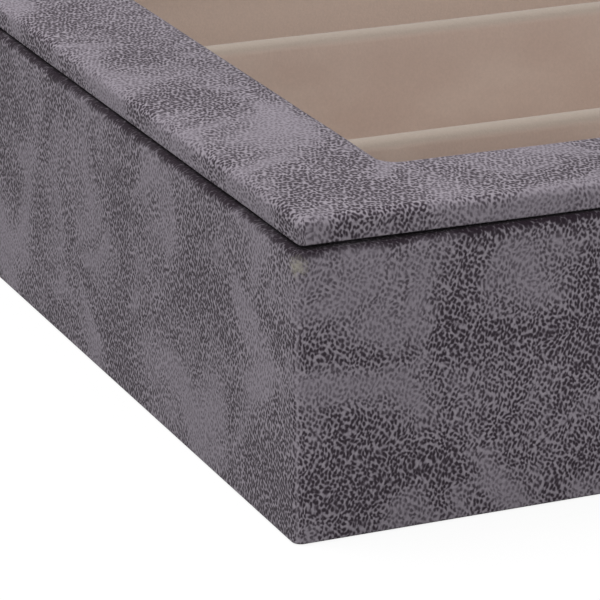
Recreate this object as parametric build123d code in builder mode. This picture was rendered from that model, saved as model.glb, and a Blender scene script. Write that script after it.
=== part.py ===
from build123d import *
import os

# A jewelry tray covered in leather cloth: a board box, a window frame on top and three velvet-lined rows.
# The origin is at the centre of the footprint, on the table. +X runs along the rows, +Y to the back
# and +Z up. All sizes are in millimetres.

# Overall size of the covered tray
tray_length = 300.0
tray_width = 200.0
tray_height = 50.0

# Leather cloth that wraps the box and the frame
leather_thickness = 0.8
box_edge_round = 1.6
box_foot_round = 1.2
top_turn_over = 5.8
bottom_turn_in = 12.0
seam_gap = 0.3
seam_from_corner = 9.0

# Boards of the box
wall_thickness = 6.0
base_thickness = 3.0
rabbet_depth = 3.0
board_ease = 0.4

# Felt under the box
felt_thickness = 0.8
felt_clearance = 0.5

# Frame glued on top of the walls
frame_board_thickness = 2.5
frame_inset = 1.1
long_rail_width = 19.8
short_rail_width = 22.2
frame_edge_round = 1.0
frame_window_round = 2.5
frame_turn_under = 8.0

# Velvet pads that line the inside
card_thickness = 2.0
velvet_thickness = 1.2
wadding_thickness = 2.0
velvet_edge_round = 1.5
lining_clearance = 0.1
floor_pad_clearance = 0.3
frame_to_lining_gap = 0.3

# Rows and the dividers between them, from front to back
row_names = ["front", "middle", "back"]
divider_names = ["front", "back"]
divider_below_frame = 8.1
tongue_clearance = 0.15

# Every cut runs past the face it opens by this much
overrun = 5.0

# Heights that follow from the sizes above
board_bottom = max(leather_thickness, felt_thickness)
frame_thickness = frame_board_thickness + 2 * leather_thickness
frame_bottom = tray_height - frame_thickness
wall_top = frame_bottom - leather_thickness
floor_top = board_bottom + base_thickness
lining_height = frame_bottom - frame_to_lining_gap - floor_top
lining_thickness = card_thickness + velvet_thickness
divider_thickness = card_thickness + 2 * velvet_thickness
divider_height = frame_bottom - divider_below_frame - floor_top

# Widths that follow from the sizes above
board_length = tray_length - 2 * leather_thickness
board_width = tray_width - 2 * leather_thickness
board_corner_round = max(box_edge_round - leather_thickness, board_ease)
hollow_length = board_length - 2 * wall_thickness
hollow_width = board_width - 2 * wall_thickness
base_length = hollow_length + 2 * rabbet_depth
base_width = hollow_width + 2 * rabbet_depth
lined_length = hollow_length - 2 * lining_thickness
lined_width = hollow_width - 2 * lining_thickness
row_width = (lined_width - len(divider_names) * divider_thickness) / len(row_names)
row_pitch = row_width + divider_thickness
row_centres = [(n - (len(row_names) - 1) / 2) * row_pitch for n in range(len(row_names))]
divider_centres = [(n - (len(divider_names) - 1) / 2) * row_pitch for n in range(len(divider_names))]
window_length = tray_length - 2 * (frame_inset + short_rail_width)
window_width = tray_width - 2 * (frame_inset + long_rail_width)

os.makedirs("parts", exist_ok=True)


def write(piece, name):
    """Labels a finished piece and writes it under its own name."""
    piece.part.label = name
    export_step(piece.part, f"parts/{name}.step")


# Board envelope of the box, which the wrap follows and the walls are cut from
with BuildPart() as envelope:
    with BuildSketch(Plane.XY.offset(board_bottom)):
        RectangleRounded(board_length, board_width, board_corner_round)
    extrude(amount=wall_top - board_bottom)
    fillet(envelope.faces().sort_by(Axis.Z)[-1].edges(), board_corner_round)
    fillet(envelope.faces().sort_by(Axis.Z)[0].edges(), board_ease)

with BuildPart() as wall_ring:
    add(envelope.part)
    with BuildSketch(Plane.XY.offset(board_bottom)):
        Rectangle(hollow_length, hollow_width)
    extrude(amount=wall_top, mode=Mode.SUBTRACT)
    with BuildSketch(Plane.XY.offset(floor_top)):
        Rectangle(base_length, base_width)
    extrude(amount=-(base_thickness + overrun), mode=Mode.SUBTRACT)

# Four wall boards, mitred at the corners and rabbeted for the base
half_length = board_length / 2
half_width = board_width / 2
ridge = half_length - half_width
wall_outlines = {
    "front_wall": [(-half_length, -half_width), (half_length, -half_width), (ridge, 0), (-ridge, 0)],
    "back_wall": [(-half_length, half_width), (-ridge, 0), (ridge, 0), (half_length, half_width)],
    "left_wall": [(-half_length, -half_width), (-ridge, 0), (-half_length, half_width)],
    "right_wall": [(half_length, -half_width), (half_length, half_width), (ridge, 0)],
}
for name, outline in wall_outlines.items():
    with BuildPart() as wall:
        add(wall_ring.part)
        with BuildSketch():
            Polygon(*outline, align=None)
        extrude(amount=tray_height, mode=Mode.INTERSECT)
    write(wall, name)

# Base board, let into the rabbets of the walls
with BuildPart() as base_board:
    with BuildSketch(Plane.XY.offset(board_bottom)):
        Rectangle(base_length, base_width)
    extrude(amount=base_thickness)
write(base_board, "base_board")

# Felt sheet on the underside, inside the leather's turn-in
with BuildPart() as base_felt:
    with BuildSketch(Plane.XY.offset(board_bottom)):
        felt_margin = 2 * (bottom_turn_in + felt_clearance)
        Rectangle(tray_length - felt_margin, tray_width - felt_margin)
    extrude(amount=-felt_thickness)
write(base_felt, "base_felt")

# Leather wrap of the box: one strip round the walls, turned over the top and in under the base
with BuildPart() as box_wrap:
    with BuildSketch(Plane.XY.offset(board_bottom - leather_thickness)):
        RectangleRounded(tray_length, tray_width, box_edge_round)
    extrude(amount=frame_bottom - board_bottom + leather_thickness)
    fillet(box_wrap.faces().sort_by(Axis.Z)[-1].edges(), box_edge_round)
    fillet(box_wrap.faces().sort_by(Axis.Z)[0].edges(), box_foot_round)
    add(envelope.part, mode=Mode.SUBTRACT)
    with BuildSketch(Plane.XY.offset(wall_top)):
        Rectangle(tray_length - 2 * top_turn_over, tray_width - 2 * top_turn_over)
    extrude(amount=leather_thickness + overrun, mode=Mode.SUBTRACT)
    with BuildSketch(Plane.XY.offset(board_bottom)):
        Rectangle(tray_length - 2 * bottom_turn_in, tray_width - 2 * bottom_turn_in)
    extrude(amount=-(leather_thickness + overrun), mode=Mode.SUBTRACT)
    with BuildSketch(Plane.XY.offset(-overrun)):
        with Locations((tray_length / 2 - seam_from_corner, tray_width / 2)):
            Rectangle(seam_gap, 2 * bottom_turn_in + overrun)
    extrude(amount=tray_height + overrun, mode=Mode.SUBTRACT)
write(box_wrap, "box_wrap")

# Frame board: one flat board with a window
frame_length = tray_length - 2 * frame_inset
frame_width = tray_width - 2 * frame_inset
with BuildPart() as frame_board:
    with BuildSketch(Plane.XY.offset(frame_bottom + leather_thickness)):
        RectangleRounded(
            frame_length - 2 * leather_thickness, frame_width - 2 * leather_thickness, board_ease
        )
        RectangleRounded(
            window_length + 2 * leather_thickness,
            window_width + 2 * leather_thickness,
            frame_window_round + leather_thickness,
            mode=Mode.SUBTRACT,
        )
    extrude(amount=frame_board_thickness)
    frame_board_rims = frame_board.edges().filter_by(Axis.Z, reverse=True)
    fillet(frame_board_rims, board_ease)
write(frame_board, "frame_board")

# Leather wrap of the frame: over the top and both edges, turned under at each side
with BuildPart() as frame_wrap:
    with BuildSketch(Plane.XY.offset(frame_bottom)):
        RectangleRounded(frame_length, frame_width, frame_edge_round)
        RectangleRounded(window_length, window_width, frame_window_round, mode=Mode.SUBTRACT)
    extrude(amount=frame_thickness)
    frame_rims = frame_wrap.edges().filter_by(Axis.Z, reverse=True)
    fillet(frame_rims, frame_edge_round)
    add(frame_board.part, mode=Mode.SUBTRACT)
    with BuildSketch(Plane.XY.offset(frame_bottom + leather_thickness)):
        Rectangle(frame_length - 2 * frame_turn_under, frame_width - 2 * frame_turn_under)
        Rectangle(
            window_length + 2 * frame_turn_under, window_width + 2 * frame_turn_under, mode=Mode.SUBTRACT
        )
    extrude(amount=-(leather_thickness + overrun), mode=Mode.SUBTRACT)
write(frame_wrap, "frame_wrap")


def padded_panel(name, plane, length, width, padding=0, cut=None):
    """Writes a card with velvet pulled over its face and edges, and any wadding between the two.

    The plane lies on the panel's back, with its normal towards the velvet face. The cut is a solid
    that is taken out of the card and the velvet.
    """
    core_length = length - 2 * velvet_thickness
    core_width = width - 2 * velvet_thickness
    core_thickness = card_thickness + padding

    with BuildPart() as card:
        with BuildSketch(plane):
            Rectangle(core_length, core_width)
        extrude(amount=card_thickness)
        if cut:
            add(cut, mode=Mode.SUBTRACT)
    write(card, f"{name}_card")

    if padding:
        with BuildPart() as wadding:
            with BuildSketch(plane.offset(card_thickness)):
                Rectangle(core_length, core_width)
            extrude(amount=padding)
        write(wadding, f"{name}_wadding")

    with BuildPart() as velvet:
        with BuildSketch(plane):
            Rectangle(length, width)
        extrude(amount=core_thickness + velvet_thickness)
        velvet_face = velvet.faces().sort_by(Axis(plane.origin, plane.z_dir))[-1]
        fillet(velvet_face.edges(), velvet_edge_round)
        with BuildSketch(plane):
            Rectangle(core_length, core_width)
        extrude(amount=core_thickness, mode=Mode.SUBTRACT)
        if cut:
            add(cut, mode=Mode.SUBTRACT)
    write(velvet, f"{name}_velvet")


# Slots for the dividers' tongues, as one bar for each divider through both side linings
tongue_height = divider_height - velvet_thickness
with BuildPart() as tongue_slots:
    with BuildSketch(Plane.XY.offset(floor_top - overrun)):
        with Locations(*[(0, y) for y in divider_centres]):
            Rectangle(board_length, card_thickness + 2 * tongue_clearance)
    extrude(amount=overrun + tongue_height + tongue_clearance)

# Wall linings: the side ones run the full width, and the long ones fit between them
side_lining_length = hollow_width - 2 * lining_clearance
long_lining_length = lined_length - 2 * lining_clearance
lining_middle = floor_top + lining_height / 2
side_planes = {
    "left_lining": Plane((-hollow_length / 2, 0, lining_middle), x_dir=(0, 1, 0), z_dir=(1, 0, 0)),
    "right_lining": Plane((hollow_length / 2, 0, lining_middle), x_dir=(0, -1, 0), z_dir=(-1, 0, 0)),
}
for name, plane in side_planes.items():
    padded_panel(name, plane, side_lining_length, lining_height, cut=tongue_slots.part)

long_planes = {
    "front_lining": Plane((0, -hollow_width / 2, lining_middle), x_dir=(-1, 0, 0), z_dir=(0, 1, 0)),
    "back_lining": Plane((0, hollow_width / 2, lining_middle), x_dir=(1, 0, 0), z_dir=(0, -1, 0)),
}
for name, plane in long_planes.items():
    padded_panel(name, plane, long_lining_length, lining_height)

# Floor pads: one in each row, between the linings and the dividers
floor_pad_length = lined_length - 2 * floor_pad_clearance
floor_pad_width = row_width - 2 * floor_pad_clearance
for row, y in zip(row_names, row_centres):
    floor_plane = Plane((0, y, floor_top))
    padded_panel(f"{row}_floor", floor_plane, floor_pad_length, floor_pad_width, wadding_thickness)

# Dividers: a card with a tongue at each end that passes through the side lining, and a velvet sleeve
tongue_length = hollow_length - 2 * lining_clearance
sleeve_length = lined_length - 2 * lining_clearance
core_round = card_thickness / 2
sleeve_round = divider_thickness / 2
for name, y in zip(divider_names, divider_centres):
    end_plane = Plane((0, y, floor_top), x_dir=(0, 1, 0), z_dir=(1, 0, 0))
    core_straight = tongue_height - core_round
    sleeve_straight = divider_height - sleeve_round

    with BuildPart() as divider_card:
        with BuildSketch(end_plane):
            with Locations((0, core_straight / 2)):
                Rectangle(card_thickness, core_straight)
            with Locations((0, core_straight)):
                Circle(core_round)
        extrude(amount=tongue_length / 2, both=True)
    write(divider_card, f"{name}_divider_card")

    with BuildPart() as divider_velvet:
        with BuildSketch(end_plane):
            with Locations((0, sleeve_straight / 2)):
                Rectangle(divider_thickness, sleeve_straight)
            with Locations((0, sleeve_straight)):
                Circle(sleeve_round)
        extrude(amount=sleeve_length / 2, both=True)
        add(divider_card.part, mode=Mode.SUBTRACT)
    write(divider_velvet, f"{name}_divider_velvet")
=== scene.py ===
import math

import bmesh
import bpy
from bpy.props import FloatProperty, FloatVectorProperty, PointerProperty
from mathutils import Matrix, Vector, noise


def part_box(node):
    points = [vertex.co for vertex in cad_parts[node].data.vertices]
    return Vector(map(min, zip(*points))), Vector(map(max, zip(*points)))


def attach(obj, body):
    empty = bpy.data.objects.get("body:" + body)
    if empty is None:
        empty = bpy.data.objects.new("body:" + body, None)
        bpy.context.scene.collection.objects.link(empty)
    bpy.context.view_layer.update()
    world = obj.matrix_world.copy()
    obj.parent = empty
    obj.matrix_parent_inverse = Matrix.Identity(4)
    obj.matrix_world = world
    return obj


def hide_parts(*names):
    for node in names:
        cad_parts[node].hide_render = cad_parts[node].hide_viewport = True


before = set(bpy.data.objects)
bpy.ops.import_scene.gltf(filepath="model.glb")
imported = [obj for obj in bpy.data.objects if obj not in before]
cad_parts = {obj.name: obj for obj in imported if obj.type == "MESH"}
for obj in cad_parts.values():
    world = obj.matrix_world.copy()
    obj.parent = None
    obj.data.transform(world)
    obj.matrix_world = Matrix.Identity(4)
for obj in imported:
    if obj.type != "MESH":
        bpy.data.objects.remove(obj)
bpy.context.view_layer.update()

bl_info = {
    "name": "Covered Jewelry Tray",
    "version": (1, 0, 0),
    "blender": (4, 5, 0),
    "location": "View3D > Sidebar > Tray",
    "description": "Covers a jewelry tray in suede-look cloth and lines its rows with velvet",
    "category": "Add Mesh",
}

# Shapes are worked out in millimetres and made in metres
MM = 0.001
BODY = "root"
CLOTH_MAP = "cloth"

# Sizes that the covers share with the solids, in millimetres
CLOTH_THICKNESS = 0.8
CARD_THICKNESS = 2.0
BOARD_EASE = 0.4
BOX_CORNER_ROUND = 1.6
BOX_TURN_OVER = 5.8
BOX_TURN_IN = 12.0
SEAM_FROM_CORNER = 9.0
FRAME_CORNER_ROUND = 1.0
FRAME_TURN_UNDER = 8.0
WINDOW_ROUND = 2.5
VELVET_EDGE_ROUND = 1.5

# Rounds of the cloth along its edges, which differ a little from the solids', in millimetres
BOX_SHOULDER_ROUND = 0.9
BOX_FOOT_ROUND = 0.5
FRAME_EDGE_ROUND = 1.5
FRAME_FOOT_ROUND = 0.3

# Half the window's length and width. The cloth is fuller there than the solid.
WINDOW_HALF = (125.4, 77.5)

# The seam at the back: half its floor's width, the width of its lips' bend, its depth, and the shallow
# dip beside it and its reach, in millimetres
SEAM_HALF = 0.1
SEAM_BEND = 0.12
SEAM_DEPTH = 0.7
SEAM_DIP = 0.1
SEAM_DIP_REACH = 0.45

# Columns of the covers' meshes: their distances from a corner, their spacing elsewhere, the steps that
# turn a corner, their places by the seam, and how far from it no others stand, in millimetres
COLUMNS_BY_CORNER = [0, 0.8, 1.8, 3, 4.5, 6.5, 9, 12.5]
COLUMN_SPACING = 4.5
CORNER_STEPS = 6
SEAM_COLUMNS = (-1.2, -0.45, -0.22, -SEAM_HALF, SEAM_HALF, 0.22, 0.45, 1.2)
SEAM_CLEAR = 1.5

# Points nearer than this are joined, slivers thinner than this go, and sharper edges stay sharp
JOIN_DISTANCE = 0.002
SLIVER = 0.001
SHARP_ANGLE = math.radians(50)

# Where on the cloth the box's piece and the frame's piece were cut, in millimetres
BOX_CUT = Vector((523, 108))
FRAME_CUT = Vector((1132, 776))

# Directions of the four sides, anticlockwise from the front
SIDES = (Vector((1, 0)), Vector((0, 1)), Vector((-1, 0)), Vector((0, -1)))
BACK = 2

# Choices of nodes that come up often: a map with soft ends, and noise on the cloth's own flat map
SMOOTHED = {"interpolation_type": "SMOOTHSTEP"}
ON_CLOTH = {"noise_dimensions": "2D"}


def linear(hex_colour):
    """Turns an sRGB hex colour into linear red, green, blue and a full alpha."""
    parts = [int(hex_colour[n:n + 2], 16) / 255 for n in (0, 2, 4)]
    return *(p / 12.92 if p <= 0.04045 else ((p + 0.055) / 1.055) ** 2.4 for p in parts), 1


def colour(name, description, hex_colour):
    """A colour setting."""
    return FloatVectorProperty(
        name=name, description=description, default=linear(hex_colour), subtype="COLOR", size=4,
        min=0, max=1,
    )


def number(name, description, value, **limits):
    """A number setting, with its unit or limits."""
    return FloatProperty(name=name, description=description, default=value, **limits)


def length(name, description, millimetres):
    """A length setting."""
    return number(name, description, millimetres * MM, unit="LENGTH", min=0)


class ClothSettings(bpy.types.PropertyGroup):
    """The suede-look cloth on the box and the frame."""

    pitch: length("Pit spacing", "Distance from one pit of the grain to the next", 0.66)
    patch: length("Patch size", "Size of the patches where the pits crowd together", 17)
    # Painted highlight: the ridges between the pits are coloured lighter than the nap, standing for
    # light that catches the raised grain
    ridge_highlight: colour("Ridges", "Rubbed tops between the pits", "99929A")
    nap: colour("Nap", "Smooth nap", "88818A")
    slope: colour("Slopes", "Where the nap starts to fall into a pit", "6D666E")
    pit: colour("Pits", "Inked pits", "463E46")
    pit_floor: colour("Pit floors", "Deepest ink", "322B32")
    worn: colour("Worn tips", "Rubbed tips of the box's top corners", "9A958B")
    # Painted shade: this near-black colour stands for the shade in the groove under the frame's lip
    groove: colour("Groove", "Ink and dust in the groove under the frame", "1C111B")
    backing: colour("Backing", "Knitted back of the cloth", "4A464A")


class VelvetSettings(bpy.types.PropertyGroup):
    """The velvet on the dividers, the walls and the floor."""

    pile: colour("Pile", "Pile of the upright faces", "CAB5A9")
    brushed: colour("Brushed pile", "Pile that leans over", "D1BEB2")
    # Painted light: the wall linings' paler pile colour makes up for the shade under the frame's
    # overhang
    wall: colour("Wall pile", "Pile of the wall linings, which runs down", "E5D1C4")
    # Painted shade: a darker pile colour for faces that point up, offsetting the stronger light that
    # falls on them from above
    upright: colour("Upright pile", "Pile that points up, on the divider tops and the floor", "A6998E")
    tuft: length("Tuft size", "Size of the tufts that show", 0.45)


class BoardSettings(bpy.types.PropertyGroup):
    """The materials under the covers."""

    fibreboard: colour("Fibreboard", "Boards of the box and the frame", "A98A66")
    greyboard: colour("Greyboard", "Cards under the velvet", "8B8983")
    felt: colour("Felt", "Felt under the box", "37343A")


class ShapeSettings(bpy.types.PropertyGroup):
    """How far the covers differ from flat boards."""

    gap: length("Gap", "Height of the groove between the box's cloth and the frame", 0.7)
    settle: length("Frame settle", "How much lower the frame lies in the middle of its long sides", 0.6)
    settle_reach: length("Settle reach", "Where the frame is half settled, from a corner", 38)
    ripple: length("Ripple", "Height of the ripples in the glued cloth", 0.08)
    ripple_size: length("Ripple size", "Width of the ripples in the glued cloth", 13)
    floor_crown: length("Floor crown", "How far the floor pads swell", 0.9)
    wall_crown: length("Wall crown", "How far the wall linings swell", 0.25)
    divider_round: length("Divider edge", "Radius of the dividers' top edges", 1.9)
    divider_bow: length("Divider bow", "How far a divider strays from a straight line", 0.18)


class StageSettings(bpy.types.PropertyGroup):
    """The floor, the lamps and the camera."""

    floor_side: length("Floor side", "Side of the square floor", 8000)
    floor_drop: length("Floor drop", "Gap that keeps the floor out of the cloth under the box", 0.1)
    floor_colour: colour("Floor", "Pale floor, as it lights the tray", "A8A8A8")
    floor_white: number("Floor white", "Share of plain white in the floor that the camera sees", 0.7,
                        subtype="FACTOR", min=0, max=1)
    floor_glow: number("Floor glow", "Strength of that white", 1.27, min=0)
    sky: number("Sky", "Strength of the white room", 0.325, min=0)
    front_lamp: number("Front lamp", "Power of the soft lamp in front", 7.9, min=0, unit="POWER")
    key_lamp: number("Key lamp", "Power of the soft lamp above the left", 24.4, min=0, unit="POWER")
    eye: FloatVectorProperty(
        name="Eye", description="Where the camera stands", default=(-0.3520, -0.5644, 0.2166),
        subtype="TRANSLATION", unit="LENGTH",
    )
    azimuth: number("Azimuth", "Direction of sight from +Y", math.radians(23.58), unit="ROTATION")
    pitch: number("Pitch", "Angle of sight below the horizon", math.radians(19.39), unit="ROTATION")
    roll: number("Roll", "Lean of the camera", math.radians(0.12), unit="ROTATION")
    lens: number("Lens", "Focal length in millimetres", 225, min=1, unit="CAMERA")


class TraySettings(bpy.types.PropertyGroup):
    """All the settings of the tray."""

    cloth: PointerProperty(type=ClothSettings)
    velvet: PointerProperty(type=VelvetSettings)
    boards: PointerProperty(type=BoardSettings)
    shape: PointerProperty(type=ShapeSettings)
    stage: PointerProperty(type=StageSettings)


def node_box(node):
    """A CAD node's lowest and highest corners, in millimetres."""
    return [Vector(corner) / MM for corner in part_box(node)]


def add(tree, kind, choices=None, **inputs):
    """Adds a node with its choices and inputs, and returns it.

    An input goes by its name, with _ for a space, or by n and its number. Its value is a constant, a
    socket, or a node that stands for its first output.
    """
    node = tree.nodes.new("ShaderNode" + kind)
    for name, value in (choices or {}).items():
        setattr(node, name, value)
    for name, value in inputs.items():
        socket = node.inputs[int(name[1:]) if name[1:].isdigit() else name.replace("_", " ")]
        if isinstance(value, bpy.types.Node):
            value = value.outputs[0]
        if isinstance(value, bpy.types.NodeSocket):
            tree.links.new(value, socket)
        else:
            socket.default_value = value
    return node


def tray_place(tree):
    """The shaded point's place on the tray, in millimetres."""
    return add(tree, "VectorMath", {"operation": "SCALE"},
               n0=add(tree, "TexCoord").outputs["Object"], Scale=1 / MM)


def seen(tree):
    """1 on what the camera sees straight, mirrored or through glass, and 0 on what only lights."""
    path = add(tree, "LightPath")
    clear = add(tree, "Math", {"operation": "MAXIMUM"}, n0=path.outputs["Is Camera Ray"],
                n1=path.outputs["Is Glossy Ray"])
    return add(tree, "Math", {"operation": "MAXIMUM"}, n0=clear, n1=path.outputs["Is Transmission Ray"])


def material(maker):
    """The material whose surface a maker function gives, under the maker's name, made once."""
    made = bpy.data.materials.get(maker.__name__)
    if not made:
        made = bpy.data.materials.new(maker.__name__)
        made.use_nodes = True
        made.node_tree.nodes.clear()
        add(made.node_tree, "OutputMaterial", Surface=maker(made.node_tree))
    return made


# Real one: polyurethane leather cloth, buffed to a suede-like face over an embossed, inked grain. The
# eye sees dark worm-like pits in patches, smooth nap where the buffing took them off, and a soft bloom.
# The pits are as far apart as on the real cloth. The flecks stand for nap that is finer than they are.
def suede_look_polyurethane_cloth(tree):
    cloth = bpy.context.scene.tray.cloth
    pit_spacing = cloth.pitch / MM
    # In millimetres: how the grain and the fold's edge wander, the nap, and the rubbed tips
    wander_size, wander_reach, fold_wander = 5, 1.3, 1.6
    fleck_size, lean_size = 0.35, 30
    tip, fray_size, fray_reach = (0.5, 0.5, 2.7), 0.5, 4.5
    # The grain's parts, the share of a pit's width in its length, and how far a fold opens the grain
    dot_level, dot_fall, worm_share, narrowing, opening = 0.44, -1.05, 0.9, 0.78, 0.2

    flat = add(tree, "VectorMath", {"operation": "SCALE"},
               n0=add(tree, "UVMap", {"uv_map": CLOTH_MAP}), Scale=1 / MM)
    place = tray_place(tree)
    # The cloth was pulled on, so its grain wanders and its pits are longer than wide
    wander = add(tree, "TexNoise", ON_CLOTH, Vector=flat, Scale=1 / wander_size, Detail=1.5)
    pulled = add(tree, "VectorMath", {"operation": "MULTIPLY_ADD"},
                 n0=wander.outputs["Color"], n1=(wander_reach, wander_reach, 0), n2=flat)
    drawn = add(tree, "VectorMath", {"operation": "MULTIPLY"}, n0=pulled, n1=(1, narrowing, 1))

    # Pits: loose cells, which a wormy field as coarse as they are runs together here and there
    cells = add(tree, "TexVoronoi", {"voronoi_dimensions": "2D", "feature": "F1"},
                Vector=add(tree, "VectorRotate", {"rotation_type": "Z_AXIS"}, Vector=drawn, Angle=0.5),
                Scale=1 / pit_spacing, Randomness=0.65)
    worms = add(tree, "TexGabor", {"gabor_type": "2D"},
                Vector=drawn, Scale=0.76 / pit_spacing, Frequency=1.5, Anisotropy=0).outputs["Value"]
    dots = add(tree, "Math", {"operation": "MULTIPLY_ADD"}, n0=cells, n1=dot_fall, n2=dot_level)
    pits = add(tree, "Math", {"operation": "MULTIPLY_ADD"}, n0=worms, n1=worm_share, n2=dots)

    # Patches where the buffing spared the pits or nearly took them off
    clouds = add(tree, "TexNoise", ON_CLOTH,
                 Vector=flat, Scale=MM / cloth.patch, Detail=3, Roughness=0.6, Distortion=0.5)
    buffed = add(tree, "MapRange",
                 Value=clouds, From_Min=0.30, From_Max=0.62, To_Min=-0.17, To_Max=0.03)
    depth = add(tree, "Math", {"operation": "ADD"}, n0=pits, n1=buffed)

    # The grain opens where the box's cloth is folded over the walls, just below the frame's cloth.
    # Places are measured from the box's top corners, inwards in X and Y and downwards in Z.
    from_corner = add(tree, "VectorMath", {"operation": "SUBTRACT"}, n0=tuple(node_box("box_wrap")[1]),
                      n1=add(tree, "VectorMath", {"operation": "ABSOLUTE"}, n0=place))
    from_face = add(tree, "SeparateXYZ", Vector=from_corner)
    uneven = add(tree, "Math", {"operation": "MULTIPLY_ADD"},
                 n0=wander.outputs["Fac"], n1=fold_wander, n2=from_face.outputs["Z"])
    near_top = add(tree, "MapRange", SMOOTHED, Value=uneven, From_Min=1.4, From_Max=2.7,
                   To_Min=1, To_Max=0)
    below_frame = add(tree, "MapRange", SMOOTHED,
                      Value=from_face.outputs["Z"], From_Min=0.59, From_Max=0.64)
    folded = add(tree, "Math", {"operation": "MULTIPLY"}, n0=near_top, n1=below_frame)
    depth = add(tree, "Math", {"operation": "MULTIPLY_ADD"}, n0=folded, n1=opening, n2=depth)

    # The grain's ramp runs from the ridges, lightened as a painted highlight, through the nap and
    # slopes to the inked pits
    tone = add(tree, "ValToRGB", Fac=depth)
    stops = [(0.10, cloth.ridge_highlight), (0.32, cloth.nap), (0.44, cloth.slope), (0.56, cloth.pit),
             (0.75, cloth.pit_floor)]
    while len(tone.color_ramp.elements) < len(stops):
        tone.color_ramp.elements.new(0.5)
    for element, (position, stop_colour) in zip(tone.color_ramp.elements, stops):
        element.position, element.color = position, stop_colour
    smooth = add(tree, "MapRange", SMOOTHED, Value=clouds, From_Min=0.31, From_Max=0.54,
                 To_Min=0.55, To_Max=0)
    tone = add(tree, "MixRGB", Fac=smooth, Color1=tone, Color2=cloth.nap)

    # A painted highlight in the ridges' colour along the upright edges, and rubbed tips a little under
    # the box's top corners
    edge = add(tree, "MapRange", SMOOTHED, Value=add(
        tree, "Math", {"operation": "MAXIMUM"}, n0=from_face.outputs["X"], n1=from_face.outputs["Y"],
    ), From_Min=0.45, From_Max=0.85, To_Min=0.4, To_Max=0)
    tone = add(tree, "MixRGB", Fac=edge, Color1=tone, Color2=cloth.ridge_highlight)
    from_tip = add(tree, "VectorMath", {"operation": "DISTANCE"},
                   n0=from_corner, n1=tip).outputs["Value"]
    fray = add(tree, "TexNoise", Vector=place, Scale=1 / fray_size, Detail=4, Roughness=0.7)
    ragged = add(tree, "Math", {"operation": "MULTIPLY_ADD"}, n0=fray, n1=fray_reach, n2=from_tip)
    rubbed = add(tree, "MapRange", SMOOTHED,
                 Value=ragged, From_Min=2.4, From_Max=4.2, To_Min=0.9, To_Max=0)
    tone = add(tree, "MixRGB", Fac=rubbed, Color1=tone, Color2=cloth.worn)

    # Fine flecks of nap, and broad clouds where it leans another way
    flecks = add(tree, "MapRange", Value=add(
        tree, "TexNoise", ON_CLOTH, Vector=drawn, Scale=1 / fleck_size, Detail=2, Roughness=0.6,
    ), From_Min=0.25, From_Max=0.75, To_Min=0.84, To_Max=1.16)
    lean = add(tree, "MapRange", Value=add(
        tree, "TexNoise", ON_CLOTH, Vector=flat, Scale=1 / lean_size, Detail=3, Roughness=0.6,
    ), From_Min=0.3, From_Max=0.7, To_Min=0.95, To_Max=1.05)
    shade = add(tree, "Math", {"operation": "MULTIPLY"}, n0=flecks, n1=lean)
    tone = add(tree, "VectorMath", {"operation": "SCALE"}, n0=tone, Scale=shade)

    # Painted shade under the frame's lip darkens the fold, most of all in from the walls' faces and in
    # the pits
    inset = add(tree, "Math", {"operation": "MINIMUM"},
                n0=from_face.outputs["X"], n1=from_face.outputs["Y"])
    groove = add(tree, "Math", {"operation": "MULTIPLY"}, n0=folded, n1=add(
        tree, "MapRange", Value=inset, From_Min=-1, From_Max=0.15, To_Max=0.97))
    groove = add(tree, "Math", {"operation": "MULTIPLY"}, n0=groove, n1=add(
        tree, "MapRange", Value=depth, From_Min=0.2, From_Max=0.5, To_Min=0.75, To_Max=1))
    tone = add(tree, "MixRGB", Fac=groove, Color1=tone, Color2=cloth.groove)

    sunk = add(tree, "MapRange", SMOOTHED, Value=depth, From_Min=0.3, From_Max=0.6, To_Min=1, To_Max=0)
    relief = add(tree, "Bump", Strength=0.35, Distance=0.0002, Height=sunk)
    return add(tree, "BsdfPrincipled", Base_Color=tone, Roughness=0.75, Normal=relief,
               Sheen_Weight=0.04, Sheen_Roughness=0.5, Specular_IOR_Level=0.12)


# Real one: the cloth's knitted polyester back, matt and ribbed, which shows at cut edges only. The ribs
# are drawn a little further apart than real ones.
def knitted_cloth_backing(tree):
    # At a scale of 1, a diagonal wave has a rib for each tau / 10 of x + y
    rib_spacing = 0.7405
    rib_scale = math.tau / (10 * math.sqrt(2) * rib_spacing)
    place = tray_place(tree)
    loops = add(tree, "TexWave", {"wave_type": "BANDS", "bands_direction": "DIAGONAL"},
                Vector=place, Scale=rib_scale, Distortion=3, Detail=2, Detail_Scale=3)
    shade = add(tree, "MapRange", Value=loops.outputs["Fac"], To_Min=0.7, To_Max=1.2)
    tone = add(tree, "VectorMath", {"operation": "SCALE"},
               n0=bpy.context.scene.tray.cloth.backing[:3], Scale=shade)
    relief = add(tree, "Bump", Strength=0.5, Distance=0.0001, Height=loops.outputs["Fac"])
    return add(tree, "BsdfPrincipled", Base_Color=tone, Roughness=0.95, Normal=relief,
               Sheen_Weight=0.2, Specular_IOR_Level=0.2)


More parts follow.
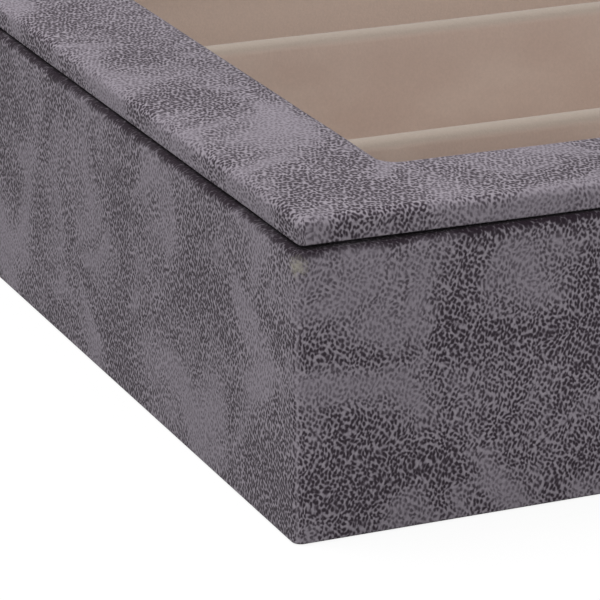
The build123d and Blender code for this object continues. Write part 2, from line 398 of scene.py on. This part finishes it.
# Real one: short-pile cotton velvet, cut and lightly brushed. The pile gives it a soft bloom at its
# edges, fine tufts close up, and faint clouds where it was stroked. The tufts are drawn coarser than
# real ones, so that they show.
def short_pile_cotton_velvet(tree):
    velvet = bpy.context.scene.tray.velvet
    stroke_size = 18
    # Velvet further out than this, in length or width, is on a wall. It lies just before the linings.
    before_lining = 0.4
    wall_start = (-node_box("left_lining_velvet")[1].x - before_lining,
                  -node_box("front_lining_velvet")[1].y - before_lining, 0)

    place = tray_place(tree)
    tufts = add(tree, "TexNoise", Vector=place, Scale=MM / velvet.tuft, Detail=3, Roughness=0.65)
    strokes = add(tree, "TexNoise", Scale=1 / stroke_size, Detail=3, Roughness=0.55, Distortion=0.6,
                  Vector=add(tree, "VectorMath", {"operation": "MULTIPLY"}, n0=place, n1=(0.6, 1, 1)))
    lean = add(tree, "MapRange", SMOOTHED, Value=strokes, From_Min=0.35, From_Max=0.65)
    tone = add(tree, "MixRGB", Fac=lean, Color1=velvet.pile, Color2=velvet.brushed)
    # The wall linings get a paler pile colour than the dividers, painted light against the shade under
    # the frame's overhang
    beyond = add(tree, "SeparateXYZ", Vector=add(
        tree, "VectorMath", {"operation": "SUBTRACT"},
        n0=add(tree, "VectorMath", {"operation": "ABSOLUTE"}, n0=place), n1=wall_start,
    ))
    on_wall = add(tree, "Math", {"operation": "GREATER_THAN"}, n1=0, n0=add(
        tree, "Math", {"operation": "MAXIMUM"}, n0=beyond.outputs["X"], n1=beyond.outputs["Y"]))
    tone = add(tree, "MixRGB", Fac=on_wall, Color1=tone, Color2=velvet.wall)
    # Velvet that points up gets a darker pile colour, painted shade against the light from above
    upright = add(tree, "MapRange", SMOOTHED, Value=add(
        tree, "SeparateXYZ", Vector=add(tree, "TexCoord").outputs["Normal"],
    ).outputs["Z"], From_Min=0, From_Max=0.7)
    tone = add(tree, "MixRGB", Fac=upright, Color1=tone, Color2=velvet.upright)
    shade = add(tree, "MapRange", Value=tufts, From_Min=0.25, From_Max=0.75, To_Min=0.95, To_Max=1.05)
    tone = add(tree, "VectorMath", {"operation": "SCALE"}, n0=tone, Scale=shade)
    relief = add(tree, "Bump", Strength=0.25, Distance=0.0002, Height=tufts)
    return add(tree, "BsdfPrincipled", Base_Color=tone, Roughness=0.92, Normal=relief,
               Sheen_Weight=0.15, Sheen_Roughness=0.5, Specular_IOR_Level=0.2)


# Real one: medium-density fibreboard, pressed and sanded, and sawn at its edges. Even and matt, with
# fine fibres and dark flecks. The fibres are drawn coarser than real ones, so that they show.
def sanded_fibreboard(tree):
    fibre_size, fleck_size = 0.5, 1.4
    place = tray_place(tree)
    fibres = add(tree, "TexNoise", Vector=place, Scale=1 / fibre_size, Detail=4, Roughness=0.7)
    flecks = add(tree, "TexNoise", Vector=place, Scale=1 / fleck_size, Detail=1)
    fine = add(tree, "MapRange", Value=fibres, From_Min=0.3, From_Max=0.7, To_Min=0.88, To_Max=1.08)
    dark = add(tree, "MapRange", Value=flecks, From_Min=0.62, From_Max=0.72, To_Min=1, To_Max=0.8)
    shade = add(tree, "Math", {"operation": "MULTIPLY"}, n0=fine, n1=dark)
    tone = add(tree, "VectorMath", {"operation": "SCALE"},
               n0=bpy.context.scene.tray.boards.fibreboard[:3], Scale=shade)
    relief = add(tree, "Bump", Strength=0.2, Distance=0.0001, Height=fibres)
    return add(tree, "BsdfPrincipled", Base_Color=tone, Roughness=0.85, Normal=relief,
               Specular_IOR_Level=0.35)


# Real one: greyboard rolled from waste paper. Matt, with pale and dark paper flecks.
def rolled_greyboard(tree):
    fleck_size = 0.8
    place = tray_place(tree)
    flecks = add(tree, "TexNoise", Vector=place, Scale=1 / fleck_size, Detail=3, Roughness=0.7)
    shade = add(tree, "MapRange", Value=flecks, From_Min=0.3, From_Max=0.7, To_Min=0.82, To_Max=1.14)
    tone = add(tree, "VectorMath", {"operation": "SCALE"},
               n0=bpy.context.scene.tray.boards.greyboard[:3], Scale=shade)
    relief = add(tree, "Bump", Strength=0.2, Distance=0.0001, Height=flecks)
    return add(tree, "BsdfPrincipled", Base_Color=tone, Roughness=0.9, Normal=relief,
               Specular_IOR_Level=0.3)


# Real one: needle-punched polyester felt. Matt and fuzzy, with tangled fibres and needle dimples. The
# dimples are as far apart as real ones, and the fibres are drawn coarser, so that they show.
def needle_punched_felt(tree):
    fibre_size, dimple_spacing = 0.7, 2.2
    place = tray_place(tree)
    fibres = add(tree, "TexNoise",
                 Vector=place, Scale=1 / fibre_size, Detail=4, Roughness=0.75, Distortion=1.5)
    dimples = add(tree, "TexVoronoi", {"feature": "SMOOTH_F1"},
                  Vector=place, Scale=1 / dimple_spacing, Randomness=0.9)
    fuzz = add(tree, "MapRange", Value=fibres, From_Min=0.3, From_Max=0.7, To_Min=0.72, To_Max=1.25)
    dimple = add(tree, "MapRange", Value=dimples, From_Min=0, From_Max=0.5, To_Min=0.8, To_Max=1.05)
    shade = add(tree, "Math", {"operation": "MULTIPLY"}, n0=fuzz, n1=dimple)
    tone = add(tree, "VectorMath", {"operation": "SCALE"},
               n0=bpy.context.scene.tray.boards.felt[:3], Scale=shade)
    relief = add(tree, "Bump", Strength=0.6, Distance=0.0003, Height=shade)
    return add(tree, "BsdfPrincipled", Base_Color=tone, Roughness=0.97, Normal=relief,
               Sheen_Weight=0.3, Specular_IOR_Level=0.15)


# Real one: a white paper sweep. The camera sees it almost plain white, with a trace of the shadow.
def white_paper_sweep(tree):
    stage = bpy.context.scene.tray.stage
    white = add(tree, "Math", {"operation": "MULTIPLY"}, n0=seen(tree), n1=stage.floor_white)
    paper = add(tree, "BsdfDiffuse", Color=stage.floor_colour)
    glow = add(tree, "Emission", Color=(1, 1, 1, 1), Strength=stage.floor_glow)
    return add(tree, "MixShader", Fac=white, n1=paper, n2=glow)


def wave(point, size, offset=0):
    """Smooth noise from -1 to 1 at a point, the same on each run. Each use can have its own offset."""
    return noise.noise(Vector((*point[:2], point[2] + offset)) / size)


def arc(inset, height, radius, start, end, steps):
    """Points of an arc round (inset, height). Angle 0 points outwards and 90 up, in degrees."""
    angles = [math.radians(start + (end - start) * n / steps) for n in range(steps + 1)]
    return [Vector((inset - radius * math.cos(a), height + radius * math.sin(a))) for a in angles]


def arch(share):
    """Rises from 0 at one end of a span to 1 in its middle, and falls to 0 at its other end."""
    return 4 * share * (1 - share)


def between(start, end, steps):
    """Points of a straight line, without its ends."""
    return [Vector(start).lerp(Vector(end), n / steps) for n in range(1, steps)]


def stations(half_x, half_y, seam=None):
    """Where the columns of a cover stand: (side, how far along it, share of the next corner turned).

    They stand closer together near the corners, and at the lips of a seam on the back.
    """
    found = []
    for side in range(len(SIDES)):
        half = (half_x, half_y)[side % 2]
        reach = COLUMNS_BY_CORNER[-1]
        middle_length = 2 * half - 2 * reach
        steps = round(middle_length / COLUMN_SPACING)
        along = [n - half for n in COLUMNS_BY_CORNER]
        along += [reach - half + middle_length * n / steps for n in range(1, steps)]
        along += [half - n for n in reversed(COLUMNS_BY_CORNER)]
        if seam is not None and side == BACK:
            lips = [seam + n for n in SEAM_COLUMNS]
            along = sorted([n for n in along if abs(n - seam) > SEAM_CLEAR] + lips)
        found += [(side, n, 0) for n in along]
        found += [(side, half, n / CORNER_STEPS) for n in range(1, CORNER_STEPS)]
    if seam is not None:
        start = found.index((BACK, seam + SEAM_HALF, 0))
        found = found[start:] + found[:start]
    return found


def on_ring(station, half_x, half_y, radius):
    """A station's point on a rounded rectangle, the way out there, and how far along its side it is."""
    side, along, turned = station
    direction = SIDES[side]
    outward = Vector((direction.y, -direction.x))
    reach, depth = (half_x, half_y) if side % 2 == 0 else (half_y, half_x)
    along = max(radius - reach, min(along, reach - radius))
    angle = turned * math.pi / 2
    out = outward * math.cos(angle) + direction * math.sin(angle)
    return direction * along + outward * (depth - radius) + out * radius, out, along


def skin(rows, maps, finishes):
    """A closed ring-shaped mesh over rows of points, with the cloth's map and each row's finish."""
    shape = bmesh.new()
    cloth_map = shape.loops.layers.uv.new(CLOTH_MAP)
    corners = [[shape.verts.new(point) for point in row] for row in rows]
    for n, row in enumerate(rows):
        for m in range(len(row)):
            after, beside = (n + 1) % len(rows), (m + 1) % len(row)
            places = [(n, m), (n, beside), (after, beside), (after, m)]
            face = shape.faces.new([corners[i][j] for i, j in places])
            face.material_index = finishes[n]
            for loop, (i, j) in zip(face.loops, places):
                loop[cloth_map].uv = maps[i][j] * MM
    return shape


def add_piece(name, shape, finishes, slot, *nodes):
    """Makes a piece from a shape in millimetres. It rides on the tray and stands for CAD nodes."""
    bmesh.ops.remove_doubles(shape, verts=shape.verts, dist=JOIN_DISTANCE)
    bmesh.ops.dissolve_degenerate(shape, edges=shape.edges, dist=SLIVER)
    bmesh.ops.recalc_face_normals(shape, faces=shape.faces)
    bmesh.ops.transform(shape, matrix=Matrix.Scale(MM, 4), verts=shape.verts)
    mesh = bpy.data.meshes.new(name)
    shape.to_mesh(mesh)
    shape.free()
    mesh.shade_smooth()
    mesh.set_sharp_from_angle(angle=SHARP_ANGLE)
    for finish in finishes:
        mesh.materials.append(material(finish))
    piece = bpy.data.objects.new(name, mesh)
    bpy.context.scene.collection.objects.link(piece)
    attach(piece, BODY)
    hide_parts(*nodes)
    return piece


def cover_box():
    """The box's cloth: in under the base, up the walls and over their tops, butted at the back."""
    shape = bpy.context.scene.tray.shape
    gap, ripple, ripple_size = shape.gap / MM, shape.ripple / MM, shape.ripple_size / MM
    low, high = node_box("box_wrap")
    top = high.z - gap
    foot, shoulder = BOX_FOOT_ROUND, BOX_SHOULDER_ROUND
    # Insets of the rows in under the base and on the walls' tops
    turned_in = (BOX_TURN_IN, 9, 6, 3)
    turned_over = (1.4, 2.3, 3.2, 3.7, 4.15, 4.6, 5.2, BOX_TURN_OVER)
    # Where the folded corners start to rise, over what width they do, and how far along the walls
    rise_start, rise_width, rise_reach = 3.7, 0.9, 9
    outer = [
        *(Vector((inset, low.z)) for inset in turned_in),
        *arc(foot, low.z + foot, foot, -90, 0, steps=6),
        *between((0, low.z + foot), (0, top - shoulder), 12),
        *arc(shoulder, top - shoulder, shoulder, 0, 90, steps=8),
        *(Vector((inset, top)) for inset in turned_over),
    ]
    board_top, board_round = high.z - CLOTH_THICKNESS, BOX_CORNER_ROUND - CLOTH_THICKNESS
    eased = CLOTH_THICKNESS + BOARD_EASE
    inner = [
        Vector((BOX_TURN_OVER, board_top)),
        *arc(BOX_CORNER_ROUND, board_top - board_round, board_round, 90, 0, steps=6),
        *arc(eased, low.z + eased, BOARD_EASE, 0, -90, steps=4),
        Vector((BOX_TURN_IN, low.z + CLOTH_THICKNESS)),
    ]
    # How far round the box each side starts, and the whole way round
    starts = [0, 2 * high.x, 2 * (high.x + high.y), 4 * high.x + 2 * high.y, 4 * (high.x + high.y)]
    seam = SEAM_FROM_CORNER - high.x
    seam_start = starts[BACK] + high.x + seam
    columns = stations(high.x, high.y, seam)

    rows, maps, run = [], [], 0
    for n, (inset, height) in enumerate(outer + inner):
        outside = n < len(outer)
        if outside:
            before, after = outer[max(n - 1, 0)], outer[min(n + 1, len(outer) - 1)]
            tangent = (after - before).normalized()
            run += (outer[n] - outer[n - 1]).length if n else 0
        radius = max(BOX_CORNER_ROUND - inset, 0)
        row, row_map = [], []
        for station in columns:
            side, _, turned = station
            point, out, along = on_ring(station, high.x - inset, high.y - inset, radius)
            reach = (high.x, high.y)[side % 2]
            u = starts[side] + reach + along
            u += turned * (starts[side + 1] + max(radius, inset) - u)
            if outside:
                from_seam = abs(along - seam) if side == BACK else BOX_TURN_IN
                push = -(SEAM_DEPTH * max(0, 1 - max(from_seam - SEAM_HALF, 0) / SEAM_BEND)
                         + SEAM_DIP * max(0, 1 - from_seam / SEAM_DIP_REACH))
                underneath, on_top = tangent.x <= -0.5, tangent.x > 0.9
                if not underneath:
                    push += ripple * wave(Vector((*point, height)), ripple_size)
                # The folded corners stand up under the frame
                if on_top:
                    from_corner = math.hypot(high.x - abs(point.x), high.y - abs(point.y))
                    rise = min(max((inset - rise_start) / rise_width, 0), 1)
                    push += (gap - ripple) * rise * math.exp(-(from_corner / rise_reach) ** 2)
                row.append((*(point + out * (tangent.y * push)), height + tangent.x * push))
            else:
                row.append((*point, height))
            row_map.append(BOX_CUT + Vector(((u - seam_start) % starts[4], run)))
        rows.append(row)
        maps.append(row_map)
    finishes = [0] * (len(outer) - 1) + [1] * (len(inner) + 1)
    add_piece("box_cover", skin(rows, maps, finishes),
              (suede_look_polyurethane_cloth, knitted_cloth_backing), "leather_cloth", "box_wrap")


def cover_frame():
    """The frame's cloth: over the board and round both its edges, and turned under."""
    shape = bpy.context.scene.tray.shape
    settle, reach = shape.settle / MM, shape.settle_reach / MM
    ripple, ripple_size = shape.ripple / MM, shape.ripple_size / MM
    # Shares of the settling that the short sides have and of the ripples that the top has, and the
    # offsets of the ripples sideways and up
    short_settle, top_ripple = 0.3, 0.6
    sideways, upwards = 50, 90
    low, high = node_box("frame_wrap")
    corner, edge, foot = FRAME_CORNER_ROUND, FRAME_EDGE_ROUND, FRAME_FOOT_ROUND
    # Insets of the rows that are turned under, and the parts that the rail's top is divided into
    turned_under = (FRAME_TURN_UNDER, 5, 2.5, 1)
    across = 10
    outer = [
        *(Vector((inset, low.z)) for inset in turned_under),
        *arc(foot, low.z + foot, foot, -90, 0, steps=6),
        *between((0, low.z + foot), (0, high.z - edge), 4),
        *arc(edge, high.z - edge, edge, 0, 90, steps=7),
    ]
    under, over = low.z + CLOTH_THICKNESS, high.z - CLOTH_THICKNESS
    eased = CLOTH_THICKNESS + BOARD_EASE
    inner = [
        *arc(eased, over - BOARD_EASE, BOARD_EASE, 90, 0, steps=3),
        *arc(eased, under + BOARD_EASE, BOARD_EASE, 0, -90, steps=3),
        Vector((FRAME_TURN_UNDER, under)),
    ]
    # Each row is (share of the way across the rail, inset from its edge, height, run beyond that edge)
    runs = [sum((b - a).length for a, b in zip(outer[n:], outer[n + 1:])) for n in range(len(outer))]
    outside = [(0, *p, r) for p, r in zip(outer, runs)]
    outside += [(n / across, edge, high.z, 0) for n in range(1, across)]
    outside += [(1, *p, r) for p, r in reversed(list(zip(outer, runs)))]
    inside = [(1, *p, 0) for p in reversed(inner)] + [(0, *p, 0) for p in inner]
    columns = stations(high.x, high.y)

    rows, maps = [], []
    for n, (share_across, inset, height, run) in enumerate(outside + inside):
        row, row_map = [], []
        for station in columns:
            rim, out, _ = on_ring(station, high.x - inset, high.y - inset, max(corner - inset, 0))
            window, _, _ = on_ring(station, WINDOW_HALF[0] + inset, WINDOW_HALF[1] + inset,
                                   WINDOW_ROUND + inset)
            point = rim.lerp(window, share_across)
            rim_edge, _, _ = on_ring(station, high.x - edge, high.y - edge, 0)
            window_edge, _, _ = on_ring(station, WINDOW_HALF[0] + edge, WINDOW_HALF[1] + edge,
                                        WINDOW_ROUND + edge)
            row_map.append(FRAME_CUT + rim_edge.lerp(window_edge, share_across)
                           + out * run * (1 - 2 * share_across))
            z = height
            if n < len(outside):
                from_corner = [limit - abs(at) for at, limit in zip(point, high)]
                sunk = [1 - 1 / (1 + (distance / reach) ** 2) for distance in from_corner]
                z -= settle * max(sunk[0], short_settle * sunk[1])
                place = Vector((*point, height))
                point = point + out * ripple * wave(place, ripple_size, sideways)
                z += top_ripple * ripple * (wave(place, ripple_size, upwards) - 1)
            row.append((*point, z))
        rows.append(row)
        maps.append(row_map)
    finishes = [0] * (len(outside) - 1) + [1] * (len(inside) + 1)
    add_piece("frame_cover", skin(rows, maps, finishes),
              (suede_look_polyurethane_cloth, knitted_cloth_backing), "leather_cloth", "frame_wrap")


def cover_divider(row):
    """A divider's velvet sleeve: up one side of the card, over its top and down the other."""
    shape = bpy.context.scene.tray.shape
    bow, bend = shape.divider_bow / MM, shape.divider_round / MM
    # The top's height above the solid's, its unevenness, and how long and where in the noise that is
    lift, uneven, uneven_size, uneven_offset = 0.3, 0.12, 35, 20
    # The length of the bow, and how far the faces swell and over what size
    bow_size, swell, swell_size = 60, 0.07, 12
    # The columns' distances from an end, where the velvet is pulled in, and their spacing elsewhere
    ends, spacing = [0, 0.1, 0.3, 0.55, 0.8], 5
    steps, turn = 9, 15
    low, high = node_box(f"{row}_divider_velvet")
    card_low, card_high = node_box(f"{row}_divider_card")
    centre = (low.y + high.y) / 2
    half, card_half = (high.y - low.y) / 2, (card_high.y - card_low.y) / 2

    def profile(half_width, top, radius, floor):
        """Half of the sleeve's section as (across, height), from the floor to the middle of its top."""
        return [
            *(Vector((half_width, floor + (top - radius - floor) * n / steps)) for n in range(steps)),
            *(Vector((half_width - radius + radius * math.cos(a), top - radius + radius * math.sin(a)))
              for a in (math.radians(angle) for angle in range(0, 91, turn))),
            Vector((0, top)),
        ]

    outer = profile(half, high.z, bend, low.z)
    inner = profile(card_half, card_high.z, card_half, low.z)
    along = [low.x + n for n in ends]
    count = round((high.x - low.x) / spacing)
    along += [low.x + ends[-1] + (high.x - low.x - 2 * ends[-1]) * n / count for n in range(1, count)]
    along += [high.x - n for n in reversed(ends)]

    rows = []
    for x in along:
        from_end = min(x - low.x, high.x - x)
        pulled = ends[-1] - math.sqrt(max(ends[-1] ** 2 - max(ends[-1] - from_end, 0) ** 2, 0))
        stray = bow * wave((x, centre, 0), bow_size)
        rise = lift + uneven * wave((x, centre, 0), uneven_size, uneven_offset) - pulled
        right = []
        for across, height in outer:
            part = (height - low.z) / (high.z - low.z)
            width = across * (1 - pulled / half) + swell * wave((x, across, height), swell_size)
            right.append((width, height + rise * part, stray * part))
        side_a = [(x, centre + w + s, z) for w, z, s in right]
        side_b = [(x, centre - w + s, z) for w, z, s in reversed(right[:-1])]
        card_a = [(x, centre + w, z) for w, z in inner]
        card_b = [(x, centre - w, z) for w, z in reversed(inner[:-1])]
        rows.append(side_a + side_b + list(reversed(card_a + card_b)))

    sleeve = bmesh.new()
    corners = [[sleeve.verts.new(point) for point in row_points] for row_points in rows]
    wide = len(rows[0])
    for first, second in zip(corners, corners[1:]):
        for n in range(wide):
            m = (n + 1) % wide
            sleeve.faces.new((first[n], first[m], second[m], second[n]))
    for end in (corners[0], corners[-1]):
        for n in range(wide // 2 - 1):
            sleeve.faces.new((end[n], end[n + 1], end[wide - 2 - n], end[wide - 1 - n]))
    add_piece(f"{row}_divider_sleeve", sleeve, (short_pile_cotton_velvet,), "velvet",
              f"{row}_divider_velvet")


def soft_block(low, high, axis, facing, step, pocket, swell):
    """A block with soft edges round its face, and a pocket in its back for the card.

    It faces along the axis, forwards or backwards, and swell gives how far a point of it stands out.
    """
    bend = VELVET_EDGE_ROUND
    bends = [bend * (1 - math.tan(math.radians(angle))) for angle in (45, 30, 15, 0)]
    # The pocket starts this many faces from the rim
    rim = 2
    grid = []
    for a, b in zip(low, high):
        count = max(1, round((b - a - 2 * bend) / step))
        middle = [a + bend + (b - a - 2 * bend) * n / count for n in range(1, count)]
        grid.append([a + n for n in bends] + middle + [b - n for n in reversed(bends)])

    core_low, core_high = low + Vector((bend,) * 3), high - Vector((bend,) * 3)
    if facing > 0:
        core_low[axis] = low[axis]
        back = low[axis]
    else:
        core_high[axis] = high[axis]
        back = high[axis]

    block = bmesh.new()
    pocketed = []
    for normal in range(3):
        first, second = (n for n in range(3) if n != normal)
        for level in (grid[normal][0], grid[normal][-1]):
            points = {}
            for i, p in enumerate(grid[first]):
                for j, q in enumerate(grid[second]):
                    point = Vector((0, 0, 0))
                    point[normal], point[first], point[second] = level, p, q
                    core = Vector([max(a, min(v, b)) for v, a, b in zip(point, core_low, core_high)])
                    offset = point - core
                    if offset.length:
                        point = core + offset * (max(map(abs, offset)) / offset.length)
                    front = abs(point[axis] - back) / (high[axis] - low[axis])
                    point[axis] += facing * front * swell(point)
                    points[i, j] = block.verts.new(point)
            for i in range(len(grid[first]) - 1):
                for j in range(len(grid[second]) - 1):
                    face = block.faces.new((points[i, j], points[i + 1, j], points[i + 1, j + 1],
                                            points[i, j + 1]))
                    inside = (rim <= i < len(grid[first]) - 1 - rim
                              and rim <= j < len(grid[second]) - 1 - rim)
                    if normal == axis and level == back and inside:
                        pocketed.append(face)
    pushed = bmesh.ops.extrude_face_region(block, geom=pocketed)["geom"]
    bmesh.ops.delete(block, geom=pocketed, context="FACES")
    for vert in (item for item in pushed if isinstance(item, bmesh.types.BMVert)):
        vert.co[axis] += facing * pocket
    return block


def line_wall(side):
    """The velvet over a wall's card. It swells a little between the places that hold it."""
    crown = bpy.context.scene.tray.shape.wall_crown / MM
    # How soon the swelling is full from the ends and from the top and the foot, how near a divider it
    # is held down, how uneven it is, and how far the velvet lies behind the solid where it's held
    full_along, full_up, held, uneven, uneven_size, pressed = 4, 1.6, 9, 0.4, 30, 0.05
    spacing = 6
    low, high = node_box(f"{side}_lining_velvet")
    axis = 1 if side in ("front", "back") else 0
    facing = 1 if side in ("front", "left") else -1
    other = 1 - axis
    dividers = [sum(corner.y for corner in node_box(f"{row}_divider_velvet")) / 2
                for row in ("front", "back")]

    def swell(point):
        across = (point[other] - low[other]) / (high[other] - low[other])
        up = (point.z - low.z) / (high.z - low.z)
        free = min(1, arch(across) * full_along) * min(1, arch(up) * full_up)
        if axis == 0:
            for y in dividers:
                free *= 1 - math.exp(-((point.y - y) / held) ** 2)
        return crown * free * (1 + uneven * wave(point, uneven_size)) - pressed

    block = soft_block(low, high, axis, facing, spacing, CARD_THICKNESS, swell)
    add_piece(f"{side}_lining_cover", block, (short_pile_cotton_velvet,), "velvet",
              f"{side}_lining_velvet")


def pad_floor(row):
    """A row's floor pad: velvet and wadding pulled over a card, so it is fullest in the middle."""
    crown = bpy.context.scene.tray.shape.floor_crown / MM
    # How soon the pad is full from its ends and from its sides, and its broad and small unevenness
    full_along, fullness = 3, 0.6
    mean, broad, broad_size, small, small_size = 0.85, 0.3, 45, 0.12, 14
    spacing = 5
    low, high = node_box(f"{row}_floor_velvet")

    def swell(point):
        along = (point.x - low.x) / (high.x - low.x)
        across = (point.y - low.y) / (high.y - low.y)
        full = min(1, arch(along) * full_along) * arch(across) ** fullness
        return (crown * full * (mean + broad * wave(point, broad_size))
                + small * full * wave(point, small_size))

    block = soft_block(low, high, 2, 1, spacing, CARD_THICKNESS, swell)
    pad = add_piece(f"{row}_floor_pad", block, (short_pile_cotton_velvet,), "velvet",
                    f"{row}_floor_velvet", f"{row}_floor_wadding")


def lay_felt():
    """The felt sheet that is glued under the base."""
    low, high = node_box("base_felt")
    felt = bmesh.new()
    columns, rows = 55, 35
    # Its underside is uneven, and lifts a little at the cut edges
    hollow, hollow_size, rim_lift = 0.06, 9, 0.15
    layers = []
    for level in (low.z, high.z):
        layer = {}
        for i in range(columns + 1):
            for j in range(rows + 1):
                x = low.x + (high.x - low.x) * i / columns
                y = low.y + (high.y - low.y) * j / rows
                rim = i in (0, columns) or j in (0, rows)
                lift = hollow * (1 + wave((x, y, 0), hollow_size)) + (rim_lift if rim else 0)
                layer[i, j] = felt.verts.new((x, y, level + lift if level == low.z else level))
        for i in range(columns):
            for j in range(rows):
                felt.faces.new((layer[i, j], layer[i + 1, j], layer[i + 1, j + 1], layer[i, j + 1]))
        layers.append(layer)
    rim = ([(i, 0) for i in range(columns)] + [(columns, j) for j in range(rows)]
           + [(i, rows) for i in range(columns, 0, -1)] + [(0, j) for j in range(rows, 0, -1)])
    for start, end in zip(rim, rim[1:] + rim[:1]):
        felt.faces.new((layers[0][start], layers[0][end], layers[1][end], layers[1][start]))
    sheet = add_piece("base_felt_sheet", felt, (needle_punched_felt,), "felt", "base_felt")


def finish_boards():
    """Gives the boards and the cards under the covers their own materials."""
    makers = {"board": sanded_fibreboard, "card": rolled_greyboard}
    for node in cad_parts.values():
        for place in node.material_slots:
            if place.material and place.material.name in makers:
                place.material = material(makers[place.material.name])


def set_stage():
    """A white paper floor, a white room, two soft lamps and the camera."""
    stage = bpy.context.scene.tray.stage
    scene = bpy.context.scene

    half, level = stage.floor_side / 2, -stage.floor_drop
    sweep = bpy.data.meshes.new("paper_floor")
    sweep.from_pydata([(-half, -half, level), (half, -half, level), (half, half, level),
                       (-half, half, level)], [], [(0, 1, 2, 3)])
    sweep.materials.append(material(white_paper_sweep))
    floor = bpy.data.objects.new("paper_floor", sweep)
    scene.collection.objects.link(floor)

    room = bpy.data.worlds.new("white_room")
    room.use_nodes = True
    room.node_tree.nodes.clear()
    strength = add(room.node_tree, "MapRange", Value=seen(room.node_tree), To_Min=stage.sky, To_Max=1)
    add(room.node_tree, "OutputWorld",
        Surface=add(room.node_tree, "Background", Color=(1, 1, 1, 1), Strength=strength))
    scene.world = room

    # The lamps are square and point at the tray's middle. Places are in metres.
    middle = Vector((0, 0, 0.03))
    lamp_side = 1.4
    lamps = [
        ("front_lamp", stage.front_lamp, Vector((-0.2, -1.3, 0.95))),
        ("key_lamp", stage.key_lamp, Vector((-0.8, 0.1, 1.6))),
    ]
    for name, power, place in lamps:
        lamp = bpy.data.lights.new(name, "AREA")
        lamp.shape, lamp.size, lamp.energy = "SQUARE", lamp_side, power
        lamp_object = bpy.data.objects.new(name, lamp)
        lamp_object.location = place
        lamp_object.rotation_euler = (middle - place).to_track_quat("-Z", "Y").to_euler()
        scene.collection.objects.link(lamp_object)

    flat = math.cos(stage.pitch)
    sight = Vector((math.sin(stage.azimuth) * flat, math.cos(stage.azimuth) * flat,
                    -math.sin(stage.pitch)))
    across = sight.cross(Vector((0, 0, 1))).normalized()
    up = across.cross(sight)
    lean = Matrix.Rotation(-stage.roll, 3, sight)
    camera = bpy.data.objects.new("camera", bpy.data.cameras.new("camera"))
    camera.data.lens = stage.lens
    camera.data.clip_start, camera.data.clip_end = 0.01, 100
    camera.matrix_world = Matrix.Translation(stage.eye) @ Matrix((
        lean @ across, lean @ up, -sight)).transposed().to_4x4()
    scene.collection.objects.link(camera)
    scene.camera = camera

    scene.view_settings.view_transform = "Standard"


class TRAY_OT_box_cover(bpy.types.Operator):
    """Cover the box in suede-look cloth"""

    bl_idname = "tray.box_cover"
    bl_label = "Box Cover"

    def execute(self, context):
        cover_box()
        return {"FINISHED"}


class TRAY_OT_frame_cover(bpy.types.Operator):
    """Cover the frame in suede-look cloth"""

    bl_idname = "tray.frame_cover"
    bl_label = "Frame Cover"

    def execute(self, context):
        cover_frame()
        return {"FINISHED"}


class TRAY_OT_dividers(bpy.types.Operator):
    """Pull a velvet sleeve over each divider"""

    bl_idname = "tray.dividers"
    bl_label = "Dividers"

    def execute(self, context):
        for row in ("front", "back"):
            cover_divider(row)
        return {"FINISHED"}


class TRAY_OT_wall_linings(bpy.types.Operator):
    """Line the four walls with velvet"""

    bl_idname = "tray.wall_linings"
    bl_label = "Wall Linings"

    def execute(self, context):
        for side in ("front", "back", "left", "right"):
            line_wall(side)
        return {"FINISHED"}


class TRAY_OT_floor_pads(bpy.types.Operator):
    """Lay a padded velvet floor in each row"""

    bl_idname = "tray.floor_pads"
    bl_label = "Floor Pads"

    def execute(self, context):
        for row in ("front", "middle", "back"):
            pad_floor(row)
        return {"FINISHED"}


class TRAY_OT_base_felt(bpy.types.Operator):
    """Glue the felt under the base"""

    bl_idname = "tray.base_felt"
    bl_label = "Base Felt"

    def execute(self, context):
        lay_felt()
        return {"FINISHED"}


class TRAY_OT_boards(bpy.types.Operator):
    """Finish the boards and the cards under the covers"""

    bl_idname = "tray.boards"
    bl_label = "Boards and Cards"

    def execute(self, context):
        finish_boards()
        return {"FINISHED"}


class TRAY_OT_stage(bpy.types.Operator):
    """Set up the floor, the lamps and the camera"""

    bl_idname = "tray.stage"
    bl_label = "Stage"

    def execute(self, context):
        set_stage()
        return {"FINISHED"}


OPERATORS = (
    TRAY_OT_boards, TRAY_OT_box_cover, TRAY_OT_frame_cover, TRAY_OT_dividers, TRAY_OT_wall_linings,
    TRAY_OT_floor_pads, TRAY_OT_base_felt, TRAY_OT_stage,
)


class TRAY_PT_panel(bpy.types.Panel):
    """The tray's pieces and settings"""

    bl_label = "Jewelry Tray"
    bl_space_type = "VIEW_3D"
    bl_region_type = "UI"
    bl_category = "Tray"

    def draw(self, context):
        for operator in OPERATORS:
            self.layout.operator(operator.bl_idname)
        for group in ("cloth", "velvet", "boards", "shape", "stage"):
            box = self.layout.box()
            held = getattr(context.scene.tray, group)
            for name in held.__annotations__:
                box.prop(held, name)


CLASSES = (
    ClothSettings, VelvetSettings, BoardSettings, ShapeSettings, StageSettings, TraySettings,
    *OPERATORS, TRAY_PT_panel,
)


def register():
    for item in CLASSES:
        bpy.utils.register_class(item)
    bpy.types.Scene.tray = PointerProperty(type=TraySettings)


def unregister():
    del bpy.types.Scene.tray
    for item in reversed(CLASSES):
        bpy.utils.unregister_class(item)


def main():
    register()
    bpy.ops.tray.boards()
    bpy.ops.tray.box_cover()
    bpy.ops.tray.frame_cover()
    bpy.ops.tray.dividers()
    bpy.ops.tray.wall_linings()
    bpy.ops.tray.floor_pads()
    bpy.ops.tray.base_felt()
    bpy.ops.tray.stage()


if __name__ == "__main__":
    main()
